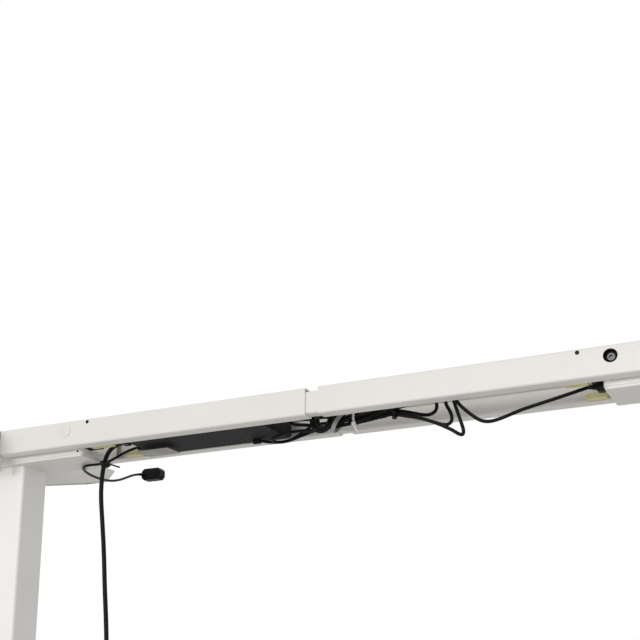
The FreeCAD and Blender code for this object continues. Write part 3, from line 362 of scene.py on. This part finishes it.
class Shader:
    """A Principled material whose colour, roughness and bump come from noise in object space."""

    def __init__(self, name, roughness, metallic=0.0, specular=0.5):
        self.material = bpy.data.materials.new(name)
        self.material.use_nodes = True
        self.tree = self.material.node_tree
        self.surface = self.tree.nodes["Principled BSDF"]
        self.surface.inputs["Metallic"].default_value = metallic
        self.surface.inputs["Roughness"].default_value = roughness
        self.surface.inputs["Specular IOR Level"].default_value = specular
        self.place = self.add("ShaderNodeTexCoord").outputs["Object"]
        self.relief = None

    def add(self, kind, **settings):
        node = self.tree.nodes.new(kind)
        for key, value in settings.items():
            setattr(node, key, value)
        return node

    def join(self, start, end):
        self.tree.links.new(start, end)

    def noise(self, scale, detail=3.0):
        node = self.add("ShaderNodeTexNoise")
        node.inputs["Scale"].default_value = scale
        node.inputs["Detail"].default_value = detail
        node.inputs["Roughness"].default_value = NOISE_ROUGHNESS
        self.join(self.place, node.inputs["Vector"])
        return node.outputs["Fac"]

    def mapped(self, value, low, high):
        """Spread a noise from low to high."""
        node = self.add("ShaderNodeMapRange")
        node.inputs["From Min"].default_value = NOISE_LOW
        node.inputs["From Max"].default_value = NOISE_HIGH
        node.inputs["To Min"].default_value = low
        node.inputs["To Max"].default_value = high
        self.join(value, node.inputs["Value"])
        return node.outputs["Result"]

    def colour(self, first, second, scale):
        """Cloudy colour between two sRGB colours."""
        node = self.add("ShaderNodeMix", data_type="RGBA")
        node.inputs["A"].default_value = linear(*first)
        node.inputs["B"].default_value = linear(*second)
        self.join(self.mapped(self.noise(scale), 0.0, 1.0), node.inputs["Factor"])
        self.join(node.outputs["Result"], self.surface.inputs["Base Color"])

    def rough(self, low, high, scale):
        """Uneven gloss between two roughnesses."""
        self.join(self.mapped(self.noise(scale), low, high), self.surface.inputs["Roughness"])

    def bump(self, scale, detail, strength, distance):
        """A layer of relief over the layers before it."""
        node = self.add("ShaderNodeBump")
        node.inputs["Strength"].default_value = strength
        node.inputs["Distance"].default_value = distance
        self.join(self.noise(scale, detail), node.inputs["Height"])
        if self.relief is not None:
            self.join(self.relief, node.inputs["Normal"])
        self.relief = node.outputs["Normal"]
        self.join(self.relief, self.surface.inputs["Normal"])


def powder_coat(name, first, second):
    """Warm white powder coat: orange peel, a fine grain and slightly uneven gloss."""
    made = Shader(name, roughness=0.42, specular=0.42)
    made.colour(first, second, scale=7.0)
    made.rough(0.36, 0.50, scale=160.0)
    made.bump(scale=1500.0, detail=2.0, strength=0.10, distance=0.0002)
    made.bump(scale=380.0, detail=1.0, strength=0.12, distance=0.0004)
    return made.material


def moulded(name, dark, light, roughness, grain=2600.0, depth=0.25, specular=0.18):
    """Moulded plastic with a spark-eroded grain."""
    made = Shader(name, roughness=roughness, specular=specular)
    made.colour(dark, light, scale=60.0)
    made.rough(roughness - 0.06, roughness + 0.08, scale=grain / 6)
    made.bump(scale=grain, detail=2.0, strength=depth, distance=0.00012)
    return made.material


def sheath():
    """PVC cord sheath: near black, soft gloss, faint grain."""
    made = Shader("cord_sheath", roughness=0.45, specular=0.12)
    made.colour((14, 14, 15), (23, 23, 24), scale=90.0)
    made.rough(0.38, 0.55, scale=400.0)
    made.bump(scale=1800.0, detail=2.0, strength=0.12, distance=0.0001)
    return made.material


def bright_steel():
    """Zinc-plated steel."""
    made = Shader("zinc_steel", roughness=0.3, metallic=1.0)
    made.colour((198, 198, 196), (168, 168, 166), scale=220.0)
    made.rough(0.24, 0.42, scale=900.0)
    made.bump(scale=2400.0, detail=2.0, strength=0.1, distance=0.0001)
    return made.material


def shaded_screw_steel():
    """Steel of the socket screws, darkened as painted shade for screws that sit in shadowed access
    holes.
    """
    made = Shader("screw_steel_painted_shade", roughness=0.45, metallic=1.0)
    made.colour((84, 84, 85), (100, 100, 99), scale=500.0)
    made.rough(0.40, 0.52, scale=900.0)
    return made.material


def cast_metal():
    """Die-cast gear case with its skin left rough."""
    made = Shader("die_cast", roughness=0.5, metallic=1.0)
    made.colour((172, 172, 170), (150, 150, 149), scale=140.0)
    made.rough(0.42, 0.62, scale=600.0)
    made.bump(scale=1200.0, detail=3.0, strength=0.25, distance=0.0003)
    return made.material


def bronze():
    """Turned bronze of the nuts and worm wheels."""
    made = Shader("bronze", roughness=0.32, metallic=1.0)
    made.colour((196, 152, 92), (172, 128, 74), scale=180.0)
    made.rough(0.25, 0.42, scale=700.0)
    return made.material


def nylon():
    """Natural nylon: slightly yellow, cloudy, waxy."""
    made = Shader("natural_nylon", roughness=0.4, specular=0.45)
    made.surface.inputs["Subsurface Weight"].default_value = 0.15
    made.surface.inputs["Subsurface Radius"].default_value = (0.004, 0.0035, 0.002)
    made.colour((226, 218, 166), (214, 205, 150), scale=80.0)
    made.rough(0.34, 0.5, scale=300.0)
    made.bump(scale=900.0, detail=2.0, strength=0.1, distance=0.0002)
    return made.material


FINISHES = {
    "white_paint": powder_coat("powder_coat", (233, 231, 228), (228, 226, 222)),
    "plain_steel": bright_steel(),
    "nylon": nylon(),
    "dark_nylon": moulded("black_nylon", (25, 25, 26), (34, 34, 35), 0.45),
    "gear_case": cast_metal(),
    "bronze": bronze(),
    "black_case": moulded("black_case", (25, 24, 26), (33, 32, 34), 0.55, specular=0.1),
    "black_plug": moulded("black_plug", (15, 15, 16), (23, 23, 24), 0.42),
    "cord": sheath(),
    "white_cap": moulded("white_cap", (232, 230, 226), (227, 224, 220), 0.42,
                         depth=0.1, specular=0.4),
    "rubber_pad": moulded("rubber_pad", (22, 22, 23), (32, 31, 31), 0.75),
    "button_grey": moulded("button_grey", (112, 112, 114), (126, 126, 128), 0.5),
}
# Finishes of single nodes or pieces, where their slot's finish isn't close enough. Among them, the
# screw steel is darkened as painted shade and the column coat is lightened as painted light.
# Screw steel darkened as painted shade.
SHADED_SCREW_STEEL = shaded_screw_steel()
# Lighter copy of the white powder coat for the columns: painted light, so that they look more brightly
# lit than the rails.
LIT_COLUMN_COAT = powder_coat("lit_column_coat_painted_light", (246, 245, 243), (242, 240, 237))
HANDSET_BLACK = moulded("handset_black", (9, 9, 10), (14, 14, 15), 0.35,
                        depth=0.1, specular=0.08)
WHITE_TIE = moulded("white_tie_nylon", (214, 214, 212), (202, 202, 200), 0.38,
                    depth=0.1, specular=0.4)
GREY_STRAP = moulded("grey_strap", (158, 158, 156), (142, 142, 140), 0.6,
                     grain=1400.0, depth=0.4)
LABEL = moulded("bare_label", (172, 171, 166), (154, 153, 148), 0.45,
                grain=5000.0, depth=0.05, specular=0.3)


def paint(piece, material):
    """Give a piece its material, in place of any that it had."""
    piece.data.materials.clear()
    piece.data.materials.append(material)
    return piece


for part in frame["record"]["subparts"]:
    paint(NODES[part["node"]], FINISHES[part["material_slot"]])
for cord in CORDS:
    paint(cord, FINISHES["cord"])


# --- Detail pieces --------------------------------------------------------------------------------
LATHE_STEPS = 32
LOOP_STEPS = 40
SHARP_ANGLE = math.radians(32)
FRONT = (0, -1, 0)
TIE_THICKNESS = 0.0012
TAIL_WIDTH = 0.0024
TAIL_THICKNESS = 0.0010


def rounded_box(build, low, high, radius, segments=3):
    """Block between two corners with rounded edges."""
    near = Vector(low)
    far = Vector(high)
    place = Matrix.Translation((near + far) / 2) @ Matrix.Diagonal((*(far - near), 1.0))
    made = bmesh.ops.create_cube(build, size=1.0, matrix=place)
    edges = list(dict.fromkeys(edge for vertex in made["verts"] for edge in vertex.link_edges))
    bmesh.ops.bevel(build, geom=edges, offset=radius, segments=segments, profile=0.5, affect="EDGES")


def lathe(build, profile, place, axis):
    """Turned form: a profile of (radius, height) about an axis through a place."""
    turn = Matrix.Translation(place) @ Vector(axis).to_track_quat("Z", "Y").to_matrix().to_4x4()
    rings = []
    for radius, height in profile:
        ring = []
        for k in range(LATHE_STEPS if radius else 1):
            angle = math.tau * k / LATHE_STEPS
            spot = Vector((radius * math.cos(angle), radius * math.sin(angle), height))
            ring.append(build.verts.new(turn @ spot))
        rings.append(ring)
    for first, second in zip(rings, rings[1:]):
        for k in range(LATHE_STEPS):
            corners = (first[k % len(first)], first[(k + 1) % len(first)],
                       second[(k + 1) % len(second)], second[k % len(second)])
            build.faces.new(list(dict.fromkeys(corners)))


def band(build, places, across, width, thickness, closed=True):
    """Flat strap along places, its width lying across."""
    across = Vector(across).normalized()
    corners = ((-1, -1), (1, -1), (1, 1), (-1, 1))
    rows = []
    for index, place in enumerate(places):
        before = places[index - 1] if closed or index else place
        after = places[(index + 1) % len(places)] if closed or index < len(places) - 1 else place
        out = (after - before).cross(across).normalized()
        rows.append([build.verts.new(place + across * (width / 2 * a) + out * (thickness / 2 * b))
                     for a, b in corners])
    for first, second in zip(rows, rows[1:] + (rows[:1] if closed else [])):
        for k in range(4):
            build.faces.new((first[k], first[(k + 1) % 4], second[(k + 1) % 4], second[k]))
    if not closed:
        build.faces.new(rows[0])
        build.faces.new(rows[-1])


def loop(middle, long_axis, wide_axis, half_length, half_width):
    """Places round an oval."""
    middle = Vector(middle)
    along = Vector(long_axis).normalized()
    aside = Vector(wide_axis).normalized()
    places = []
    for k in range(LOOP_STEPS):
        angle = math.tau * k / LOOP_STEPS
        reach = along * (half_length * math.cos(angle))
        places.append(middle + reach + aside * (half_width * math.sin(angle)))
    return places


def fit(name, build, slot, body="beam_left", nodes=(), material=None):
    """Turn a finished bmesh into a piece that rides on its body."""
    bmesh.ops.recalc_face_normals(build, faces=build.faces)
    mesh = bpy.data.meshes.new(name)
    build.to_mesh(mesh)
    build.free()
    for face in mesh.polygons:
        face.use_smooth = True
    mesh.set_sharp_from_angle(angle=SHARP_ANGLE)
    piece = link(bpy.data.objects.new(name, mesh))
    paint(piece, material or FINISHES[slot])
    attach(piece, body)
    if nodes:
        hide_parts(*nodes)


def turned(name, profile, place, slot, body="beam_left"):
    """Small turned piece on a face that looks to the front."""
    build = bmesh.new()
    lathe(build, profile, place, FRONT)
    fit(name, build, slot, body)


def left_cord_tie():
    """Knotted tie that holds the handset lead to the mains cord, with its cut tail."""
    middle = (-0.3905, 0.0032, 0.632)
    depth = Vector((0, 1, 0))
    leans = (Vector((0.8, 0.0, 0.75)), Vector((0.8, 0.0, -0.75)))
    knot = ((-0.3935, -0.0088, 0.6285), (-0.3870, -0.0040, 0.6345))
    tail = [Vector((-0.3872, -0.0062, 0.6318)), Vector((-0.380, -0.0050, 0.6300)),
            Vector((-0.371, -0.0030, 0.6268)), Vector((-0.3600, 0.0000, 0.6228))]
    tail_across = (0, 0.35, 1)
    build = bmesh.new()
    for lean in leans:
        ring = loop(middle, depth, lean, half_length=0.0088, half_width=0.0062)
        band(build, ring, lean.cross(depth), width=0.0042, thickness=TIE_THICKNESS)
    rounded_box(build, *knot, radius=0.0009)
    band(build, tail, tail_across, TAIL_WIDTH, TAIL_THICKNESS, closed=False)
    fit("left_cord_tie", build, "dark_nylon")


def grey_strap():
    """Slanting grey strap round the hank's left end."""
    middle = (0.0212, -0.0118, 0.6466)
    lean = Vector((0.48, 0.0, 0.875))
    wide = Vector((0.0, 0.944, 0.330))
    build = bmesh.new()
    ring = loop(middle, lean, wide, half_length=0.0140, half_width=0.0134)
    band(build, ring, lean.cross(wide), width=0.0060, thickness=0.0011)
    fit("grey_hank_strap", build, "button_grey", nodes=("cable_ties",), material=GREY_STRAP)


def tie_ring(build, middle, half_height, half_depth, width):
    """Band of a cable tie round the hank."""
    ring = loop(middle, (0, 0, 1), (0, 1, 0), half_height, half_depth)
    band(build, ring, (1, 0, 0), width, TIE_THICKNESS)


def white_tie():
    """White tie near the hank's middle, with its head and its cut tail below."""
    tie_x = 0.047
    middle = strand(None, tie_x)
    head_low = (0.0445, middle.y - 0.0112, middle.z - 0.0118)
    head_high = (0.0500, middle.y - 0.0058, middle.z - 0.0068)
    tail_steps = ((0.0012, -0.0088, -0.0098), (0.0020, -0.0096, -0.0140),
                  (0.0036, -0.0092, -0.0180), (0.0058, -0.0080, -0.0212))
    tail = [middle + Vector(step) for step in tail_steps]
    tail_across = (1, 0, 0.3)
    build = bmesh.new()
    tie_ring(build, middle, half_height=0.0096, half_depth=0.0096, width=0.0032)
    rounded_box(build, head_low, head_high, radius=0.0007)
    band(build, tail, tail_across, TAIL_WIDTH, TAIL_THICKNESS, closed=False)
    fit("white_hank_tie", build, "white_cap", material=WHITE_TIE)


def black_tie():
    """Black tie at the hank's right end."""
    tie_x = 0.1065
    middle = strand(None, tie_x)
    head_low = (0.1040, middle.y - 0.0070, middle.z - 0.0128)
    head_high = (0.1096, middle.y - 0.0010, middle.z - 0.0078)
    build = bmesh.new()
    tie_ring(build, middle, half_height=0.0086, half_depth=0.0088, width=0.0042)
    rounded_box(build, head_low, head_high, radius=0.0008)
    fit("black_hank_tie", build, "dark_nylon")


def bare_label():
    """Blank rating plate stuck under the control box."""
    proud = 0.0004
    sunk = 0.0002
    label_low = (-0.3235, -0.011, BOX_UNDERSIDE_Z - proud)
    label_high = (-0.2660, 0.0275, BOX_UNDERSIDE_Z + sunk)
    build = bmesh.new()
    rounded_box(build, label_low, label_high, radius=0.00015, segments=2)
    fit("bare_label", build, "button_grey", material=LABEL)


def motor_plug():
    """Right motor's plug: a ribbed bar at the cover's nose, a hanging body and a ringed relief."""
    bar = ((0.3845, -0.0270, 0.6535), (0.4020, -0.0110, 0.6640))
    block = ((0.3915, -0.0258, 0.6410), (0.4015, -0.0122, 0.6545))
    rib_xs = (0.3870, 0.3895)
    rib_width = 0.0009
    relief = ((0.0, -0.003), (0.0043, -0.003), (0.0043, 0.0015), (0.0037, 0.0022),
              (0.0040, 0.0034), (0.0034, 0.0048), (0.0037, 0.0060), (0.0031, 0.0074),
              (0.0033, 0.0086), (0.0028, 0.0112), (0.0, 0.0112))
    relief_place = (0.3915, -0.0195, 0.6487)
    relief_axis = (-1, 0, 0.08)
    build = bmesh.new()
    rounded_box(build, *bar, radius=0.0012)
    rounded_box(build, *block, radius=0.0018)
    for rib_x in rib_xs:
        rounded_box(build, (rib_x, -0.0276, 0.6545), (rib_x + rib_width, -0.0104, 0.6646),
                    radius=0.0003, segments=2)
    lathe(build, relief, relief_place, relief_axis)
    fit("motor_plug", build, "black_plug", "beam_right", ("right_motor_plug",))


def glide_pads():
    """Natural nylon pads of the sliding rails: a stepped low one and a high one at each rail end."""
    # X spans of the pads at the front (-1) and the rear (1), then each block's distances from the
    # middle plane and its heights.
    spans = {-1: ((-0.389, -0.349), (0.352, 0.383)), 1: ((-0.371, -0.343), (0.3655, 0.393))}
    clearance = 0.0002
    web = GLIDE_REACH_Y - clearance
    blocks = ((0.0285, 0.0437, 0.6486, 0.6555), (0.0430, web, 0.6522, 0.6575),
              (0.0440, web, 0.6745, 0.6810))
    build = bmesh.new()
    for side, ends in spans.items():
        for low_x, high_x in ends:
            for inner, outer, low_z, high_z in blocks:
                near, far = sorted((side * inner, side * outer))
                rounded_box(build, (low_x, near, low_z), (high_x, far, high_z),
                            radius=0.0009, segments=2)
    fit("glide_pads", build, "nylon", nodes=("rail_glides",))


def small_fittings():
    """Plugs of the hanging holes and the covers' nose bosses, with painted shade in holes: dark plates
    behind the screws, a dark disc in the left nose hole and a dark disc on the rear rail; the right
    nose hole gets a white plug.
    """
    dome = ((0.0, 0.0010), (0.0012, 0.00092), (0.0022, 0.0006), (0.0029, 0.0),
            (0.0021, -0.0002), (0.0021, -0.0022), (0.0, -0.0022))
    boss = ((0.0016, -0.001), (0.0037, -0.001), (0.0037, 0.0006), (0.0032, 0.0010),
            (0.0022, 0.0010), (0.0016, 0.0004), (0.0016, -0.001))
    pit = ((0.0, 0.0002), (0.0014, 0.0003), (0.0018, 0.0006), (0.0018, -0.0010), (0.0, -0.0010))
    hole_shade_disc = ((0.0, 0.0003), (0.0017, 0.0003), (0.0020, 0.0), (0.0, -0.0002))
    hole_x = 0.378
    hole_z = 0.683
    screw_x = 0.419
    shade_plate_half = 0.0125
    nose_x = 0.410
    rear_hole_shade_place = (0.297, 0.0615, 0.682)
    for side, word, filler in ((-1, "left", "dark_nylon"), (1, "right", "white_cap")):
        body = f"beam_{word}"
        turned(f"{word}_hole_dome", dome, (side * hole_x, RAIL_FACE_Y, hole_z), "dark_nylon", body)
        # Dark plate behind each screw: painted shade that makes its access hole look dark.
        build = bmesh.new()
        shade_plate_x = side * screw_x
        rounded_box(build, (shade_plate_x - shade_plate_half, -0.0556, 0.6620),
                    (shade_plate_x + shade_plate_half, -0.0541, 0.6845), radius=0.0005, segments=2)
        fit(f"{word}_hole_shade_plate", build, "rubber_pad", body)
        nose = (side * nose_x, -0.0430, 0.645)
        turned(f"{word}_nose_boss", boss, nose, "white_paint", body)
        # The left pit is a dark disc, painted shade of the screw hole in the cover's nose; the right
        # pit is a white plug.
        turned(f"{word}_nose_pit_shade_and_plug", pit, nose, filler, body)
    # A flat dark disc on the rear rail's inner face: painted shade standing in for a countersunk hole.
    turned("rear_rail_hole_shade", hole_shade_disc, rear_hole_shade_place, "dark_nylon")


left_cord_tie()
grey_strap()
white_tie()
black_tie()
bare_label()
motor_plug()
glide_pads()
small_fittings()
for side_word in ("left", "right"):
    # The head screws get the steel darkened as painted shade.
    paint(NODES[f"{side_word}_head_screws"], SHADED_SCREW_STEEL)
    for tube_word in ("outer_tube", "inner_tube"):
        # The columns get the lighter coat, which is painted light.
        paint(NODES[f"{side_word}_{tube_word}"], LIT_COLUMN_COAT)
paint(NODES["handset_case"], HANDSET_BLACK)


# --- Light, floor and background ------------------------------------------------------------------
AMBIENT_COLOUR = (1.0, 0.995, 0.99, 1.0)
AMBIENT_STRENGTH = 0.62
SHOWN_COLOUR = (1.0, 1.0, 1.0, 1.0)
KEY_STRENGTH = 1.15
KEY_ANGLE = math.radians(14)
KEY_COLOUR = (1.0, 0.995, 0.985)
KEY_DIRECTION = Vector((0.10, 0.985, -0.14))
FLOOR_RADIUS = 9.0
FLOOR_STEPS = 96
FLOOR_Z = -0.0005
FLOOR_COLOUR = (0.82, 0.815, 0.80, 1.0)
FLOOR_GLOW = 0.35


def surroundings():
    """Even light, with pure white wherever the camera, a reflection or a clear piece sees it."""
    world = bpy.data.worlds.new("surroundings")
    SCENE.world = world
    world.use_nodes = True
    tree = world.node_tree
    background = tree.nodes["Background"]
    background.inputs["Color"].default_value = AMBIENT_COLOUR
    background.inputs["Strength"].default_value = AMBIENT_STRENGTH
    shown = tree.nodes.new("ShaderNodeBackground")
    shown.inputs["Color"].default_value = SHOWN_COLOUR
    shown.inputs["Strength"].default_value = 1.0
    rays = tree.nodes.new("ShaderNodeLightPath")
    camera_or_glossy = tree.nodes.new("ShaderNodeMath")
    camera_or_glossy.operation = "MAXIMUM"
    any_of_them = tree.nodes.new("ShaderNodeMath")
    any_of_them.operation = "MAXIMUM"
    mix = tree.nodes.new("ShaderNodeMixShader")
    tree.links.new(rays.outputs["Is Camera Ray"], camera_or_glossy.inputs[0])
    tree.links.new(rays.outputs["Is Glossy Ray"], camera_or_glossy.inputs[1])
    tree.links.new(camera_or_glossy.outputs[0], any_of_them.inputs[0])
    tree.links.new(rays.outputs["Is Transmission Ray"], any_of_them.inputs[1])
    tree.links.new(any_of_them.outputs[0], mix.inputs["Fac"])
    tree.links.new(background.outputs[0], mix.inputs[1])
    tree.links.new(shown.outputs[0], mix.inputs[2])
    tree.links.new(mix.outputs[0], tree.nodes["World Output"].inputs["Surface"])


def key_light():
    """One soft lamp from the front."""
    lamp = bpy.data.lights.new("key", "SUN")
    lamp.energy = KEY_STRENGTH
    lamp.angle = KEY_ANGLE
    lamp.color = KEY_COLOUR
    key = link(bpy.data.objects.new("key", lamp))
    key.rotation_euler = KEY_DIRECTION.to_track_quat("-Z", "Y").to_euler()


def pale_floor():
    """Round floor that looks a little brighter to the camera than it is for the light."""
    mesh = bpy.data.meshes.new("floor")
    build = bmesh.new()
    bmesh.ops.create_circle(build, cap_ends=True, segments=FLOOR_STEPS, radius=FLOOR_RADIUS)
    build.to_mesh(mesh)
    build.free()
    floor = link(bpy.data.objects.new("floor", mesh))
    floor.location.z = FLOOR_Z
    material = bpy.data.materials.new("pale_floor")
    material.use_nodes = True
    tree = material.node_tree
    surface = tree.nodes["Principled BSDF"]
    surface.inputs["Base Color"].default_value = FLOOR_COLOUR
    surface.inputs["Roughness"].default_value = 0.8
    surface.inputs["Specular IOR Level"].default_value = 0.2
    rays = tree.nodes.new("ShaderNodeLightPath")
    glow = tree.nodes.new("ShaderNodeEmission")
    glow.inputs["Strength"].default_value = FLOOR_GLOW
    add = tree.nodes.new("ShaderNodeAddShader")
    mix = tree.nodes.new("ShaderNodeMixShader")
    tree.links.new(surface.outputs[0], add.inputs[0])
    tree.links.new(glow.outputs[0], add.inputs[1])
    tree.links.new(rays.outputs["Is Camera Ray"], mix.inputs["Fac"])
    tree.links.new(surface.outputs[0], mix.inputs[1])
    tree.links.new(add.outputs[0], mix.inputs[2])
    tree.links.new(mix.outputs[0], tree.nodes["Material Output"].inputs["Surface"])
    floor.data.materials.append(material)


surroundings()
key_light()
pale_floor()
